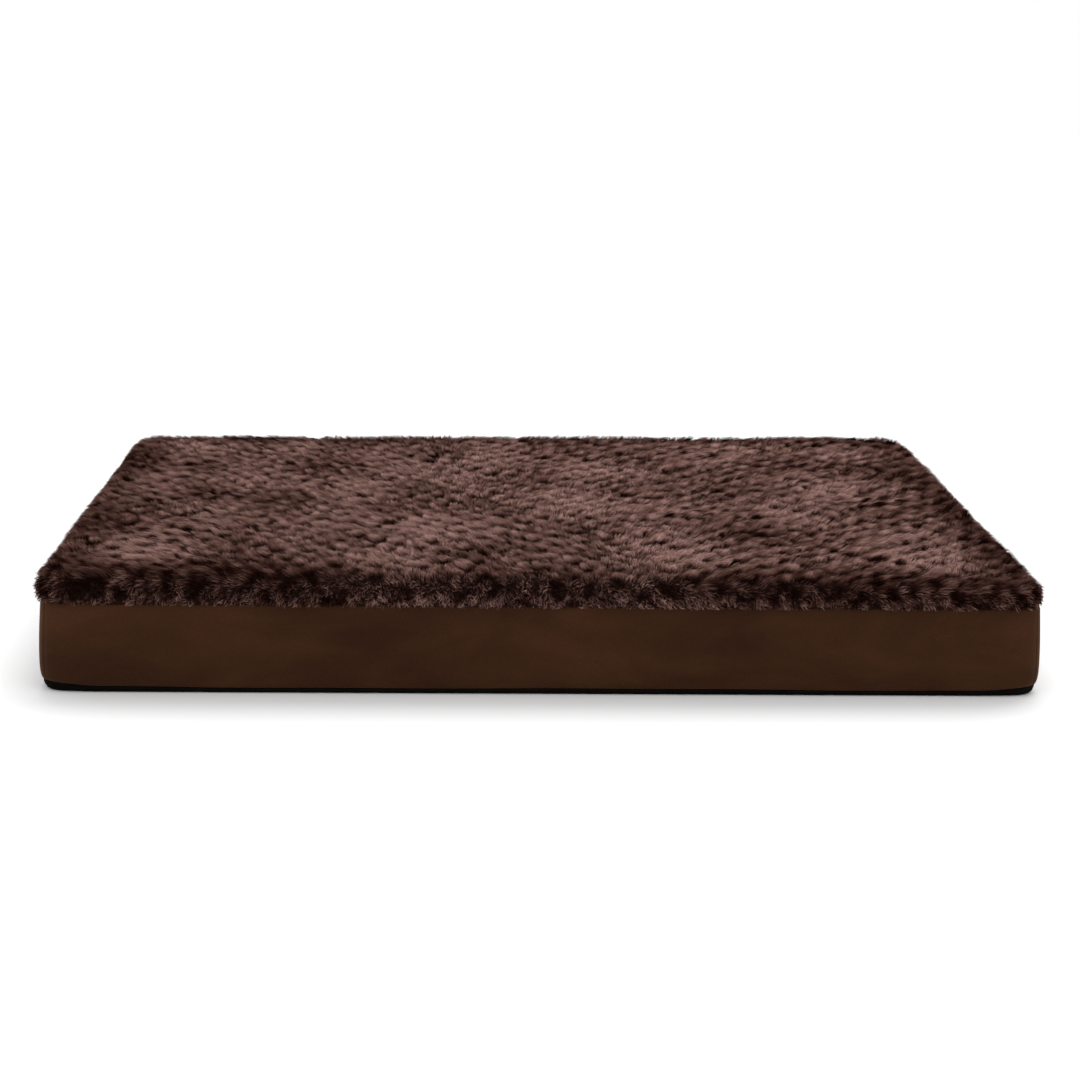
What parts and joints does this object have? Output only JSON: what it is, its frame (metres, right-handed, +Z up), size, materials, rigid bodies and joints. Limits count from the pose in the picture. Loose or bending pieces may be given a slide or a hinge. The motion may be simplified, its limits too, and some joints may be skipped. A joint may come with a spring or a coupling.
{
  "type": "mattress-style pet bed",
  "caption": "Rectangular mattress-style pet bed: a zipped cover with a curly plush top and smooth suede-cloth sides round a layered foam core.",
  "frame": {"origin": "centre of the underside, on the surface the bed rests on", "axes": "+Z up; X along the long side; -Y is the front side and +Y the rear side, which carries the zipper"},
  "size_m": [1.118, 0.889, 0.14],
  "materials": {
    "plush": "curly long-pile plush, dark roots and lighter tips",
    "suede": "matte brushed suede cloth",
    "base_cloth": "near-black woven non-slip cloth",
    "support_foam": "cut open-cell foam",
    "topper_foam": "convoluted open-cell foam",
    "zipper_tape": "woven tape",
    "zipper_coil": "satin monofilament",
    "zipper_metal": "dark bronze enamel"
  },
  "bodies": {
    "cover_and_core": {"plush_top": "plush", "side_panel_front": "suede", "side_panel_right": "suede", "side_panel_rear": "suede", "side_panel_left": "suede", "base_panel": "base_cloth", "support_foam": "support_foam", "egg_crate_topper": "topper_foam", "zipper_tape_upper": "zipper_tape", "zipper_tape_lower": "zipper_tape", "zipper_coil_upper": "zipper_coil", "zipper_coil_lower": "zipper_coil", "zipper_top_stop_upper": "zipper_metal", "zipper_top_stop_lower": "zipper_metal", "zipper_bottom_stop": "zipper_metal"},
    "slider": {"zipper_slider": "zipper_metal"},
    "pull": {"zipper_pull": "zipper_metal"}
  },
  "joints": [
    {"name": "slider_travel", "type": "slide", "parent": "cover_and_core", "child": "slider", "axis": [-1, 0, 0], "range_m": [0, 0.984]},
    {"name": "pull_swing", "type": "hinge", "parent": "slider", "child": "pull", "pos_m": [0.492, 0.44195, 0.018], "axis": [0, 0, -1], "range_deg": [0, 180]}
  ]
}
